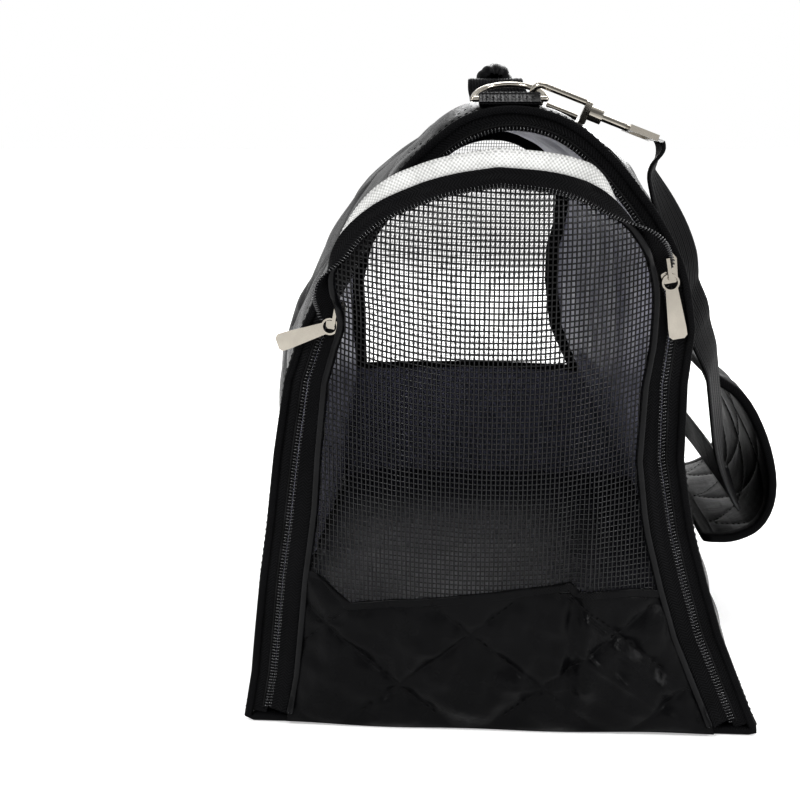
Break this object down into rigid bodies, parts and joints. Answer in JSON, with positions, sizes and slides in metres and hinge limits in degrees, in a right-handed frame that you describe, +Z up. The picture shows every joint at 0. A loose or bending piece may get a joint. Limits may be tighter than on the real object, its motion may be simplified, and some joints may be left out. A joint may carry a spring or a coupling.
{
  "type": "pet carrier bag",
  "caption": "Soft-sided arched pet carrier bag with a zipped mesh door, rear mesh window, carry handle and padded shoulder strap.",
  "frame": {"origin": "on the floor under the centre of the base panel, halfway between the front and rear rims", "axes": "+X to the wearer's right when facing the door, +Y from the door towards the rear window, +Z up"},
  "size_m": [0.2861, 0.4385, 0.319],
  "materials": {
    "quilted_nylon": "quilted glossy nylon taffeta",
    "lining": "plain woven lining, slight sheen",
    "board": "stiff plastic board",
    "edge_binding": "twill binding tape",
    "mesh": "open coated mesh",
    "zip_tape": "herringbone woven tape",
    "zip_coil": "satin nylon coil",
    "seam_binding": "coarse plain weave",
    "webbing": "ribbed nylon webbing",
    "steel": "bright nickel plate"
  },
  "bodies": {
    "shell": {"base_panel": "quilted_nylon", "base_board": "board", "floor_mat": "lining", "side_panel_left": "quilted_nylon", "side_panel_right": "quilted_nylon", "roof_panel": "quilted_nylon", "lining": "lining", "front_rim": "edge_binding", "rear_rim": "edge_binding", "rear_mesh_window": "mesh", "rear_quilted_panel": "quilted_nylon", "rear_trim": "edge_binding", "frame_zip_tape": "zip_tape", "frame_zip_coil": "zip_coil", "handle_anchor_front": "webbing", "handle_anchor_rear": "webbing", "dring_tab_front": "webbing", "dring_tab_rear": "webbing", "strap_webbing_front": "webbing", "strap_webbing_rear": "webbing", "swivel_loop_front": "steel", "swivel_loop_rear": "steel"},
    "door": {"door_mesh": "mesh", "door_quilted_panel": "quilted_nylon", "door_piping": "edge_binding", "door_zip_tape": "zip_tape", "door_zip_coil": "zip_coil"},
    "door_top": {"flap_mesh": "mesh", "flap_seam_binding": "seam_binding", "flap_piping": "edge_binding", "flap_zip_tape": "zip_tape", "flap_zip_coil": "zip_coil"},
    "slider_left": {"zip_slider_left": "steel"},
    "slider_right": {"zip_slider_right": "steel"},
    "pull_left": {"zip_pull_left": "steel"},
    "pull_right": {"zip_pull_right": "steel"},
    "handle": {"handle_webbing": "webbing", "handle_grip": "quilted_nylon"},
    "dring_front": {"dring_front": "steel"},
    "dring_rear": {"dring_rear": "steel"},
    "hook_front": {"snap_hook_front": "steel"},
    "hook_rear": {"snap_hook_rear": "steel"},
    "gate_front": {"hook_gate_front": "steel"},
    "gate_rear": {"hook_gate_rear": "steel"},
    "pad": {"shoulder_pad": "quilted_nylon", "pad_binding": "edge_binding"},
    "adjuster": {"strap_adjuster": "steel"}
  },
  "joints": [
    {"name": "door_open", "type": "hinge", "parent": "shell", "child": "door", "pos_m": [0, -0.2106, 0.0042], "axis": [1, 0, 0], "range_deg": [0, 78]},
    {"name": "door_top_fold", "type": "hinge", "parent": "door", "child": "door_top", "pos_m": [0, -0.208, 0.21146], "axis": [0.989, 0, 0.1477], "range_deg": [-10, 16]},
    {"name": "slider_left_travel", "type": "slide", "parent": "shell", "child": "slider_left", "axis": [-0.1822, 0, -0.9833], "range_m": [0, 0.16688]},
    {"name": "slider_right_travel", "type": "slide", "parent": "shell", "child": "slider_right", "axis": [0.1932, 0, -0.9812], "range_m": [0, 0.18967]},
    {"name": "pull_left_swing", "type": "hinge", "parent": "slider_left", "child": "pull_left", "pos_m": [-0.07759, -0.2117, 0.19567], "axis": [0, 1, 0], "range_deg": [-60, 35]},
    {"name": "pull_right_swing", "type": "hinge", "parent": "slider_right", "child": "pull_right", "pos_m": [0.07136, -0.2117, 0.21767], "axis": [0, 1, 0], "range_deg": [-60, 60]},
    {"name": "handle_flop", "type": "hinge", "parent": "shell", "child": "handle", "pos_m": [0, 0, 0.292], "axis": [0, 1, 0], "range_deg": [-38, 38]},
    {"name": "dring_front_tilt", "type": "hinge", "parent": "shell", "child": "dring_front", "pos_m": [0, -0.196, 0.295], "axis": [1, 0, 0], "range_deg": [-8, 8]},
    {"name": "dring_rear_tilt", "type": "hinge", "parent": "shell", "child": "dring_rear", "pos_m": [0, 0.196, 0.295], "axis": [1, 0, 0], "range_deg": [-8, 8]},
    {"name": "hook_front_swivel", "type": "hinge", "parent": "shell", "child": "hook_front", "pos_m": [0.03636, -0.192, 0.28873], "axis": [0.9336, 0, -0.3584], "range_deg": [-10, 10]},
    {"name": "gate_front_press", "type": "hinge", "parent": "hook_front", "child": "gate_front", "pos_m": [0.03022, -0.1907, 0.28726], "axis": [0.1226, 0.9397, 0.3193], "range_deg": [0, 15], "stiffness_Nm_per_rad": 0.02},
    {"name": "hook_rear_swivel", "type": "hinge", "parent": "shell", "child": "hook_rear", "pos_m": [0.03636, 0.192, 0.28873], "axis": [0.9336, 0, -0.3584], "range_deg": [-10, 10]},
    {"name": "gate_rear_press", "type": "hinge", "parent": "hook_rear", "child": "gate_rear", "pos_m": [0.03022, 0.1907, 0.28726], "axis": [-0.1226, 0.9397, -0.3193], "range_deg": [0, 15], "stiffness_Nm_per_rad": 0.02},
    {"name": "pad_shift", "type": "slide", "parent": "shell", "child": "pad", "axis": [0, 1, 0], "range_m": [-0.018, 0.018]},
    {"name": "adjuster_shift", "type": "slide", "parent": "shell", "child": "adjuster", "axis": [0.2074, -0.5185, -0.8296], "range_m": [-0.008, 0.008]}
  ],
  "couplings": [
    {"joint": "slider_left_travel", "follows": "door_open", "m_per_rad": 0.12252},
    {"joint": "slider_right_travel", "follows": "door_open", "m_per_rad": 0.13925}
  ]
}
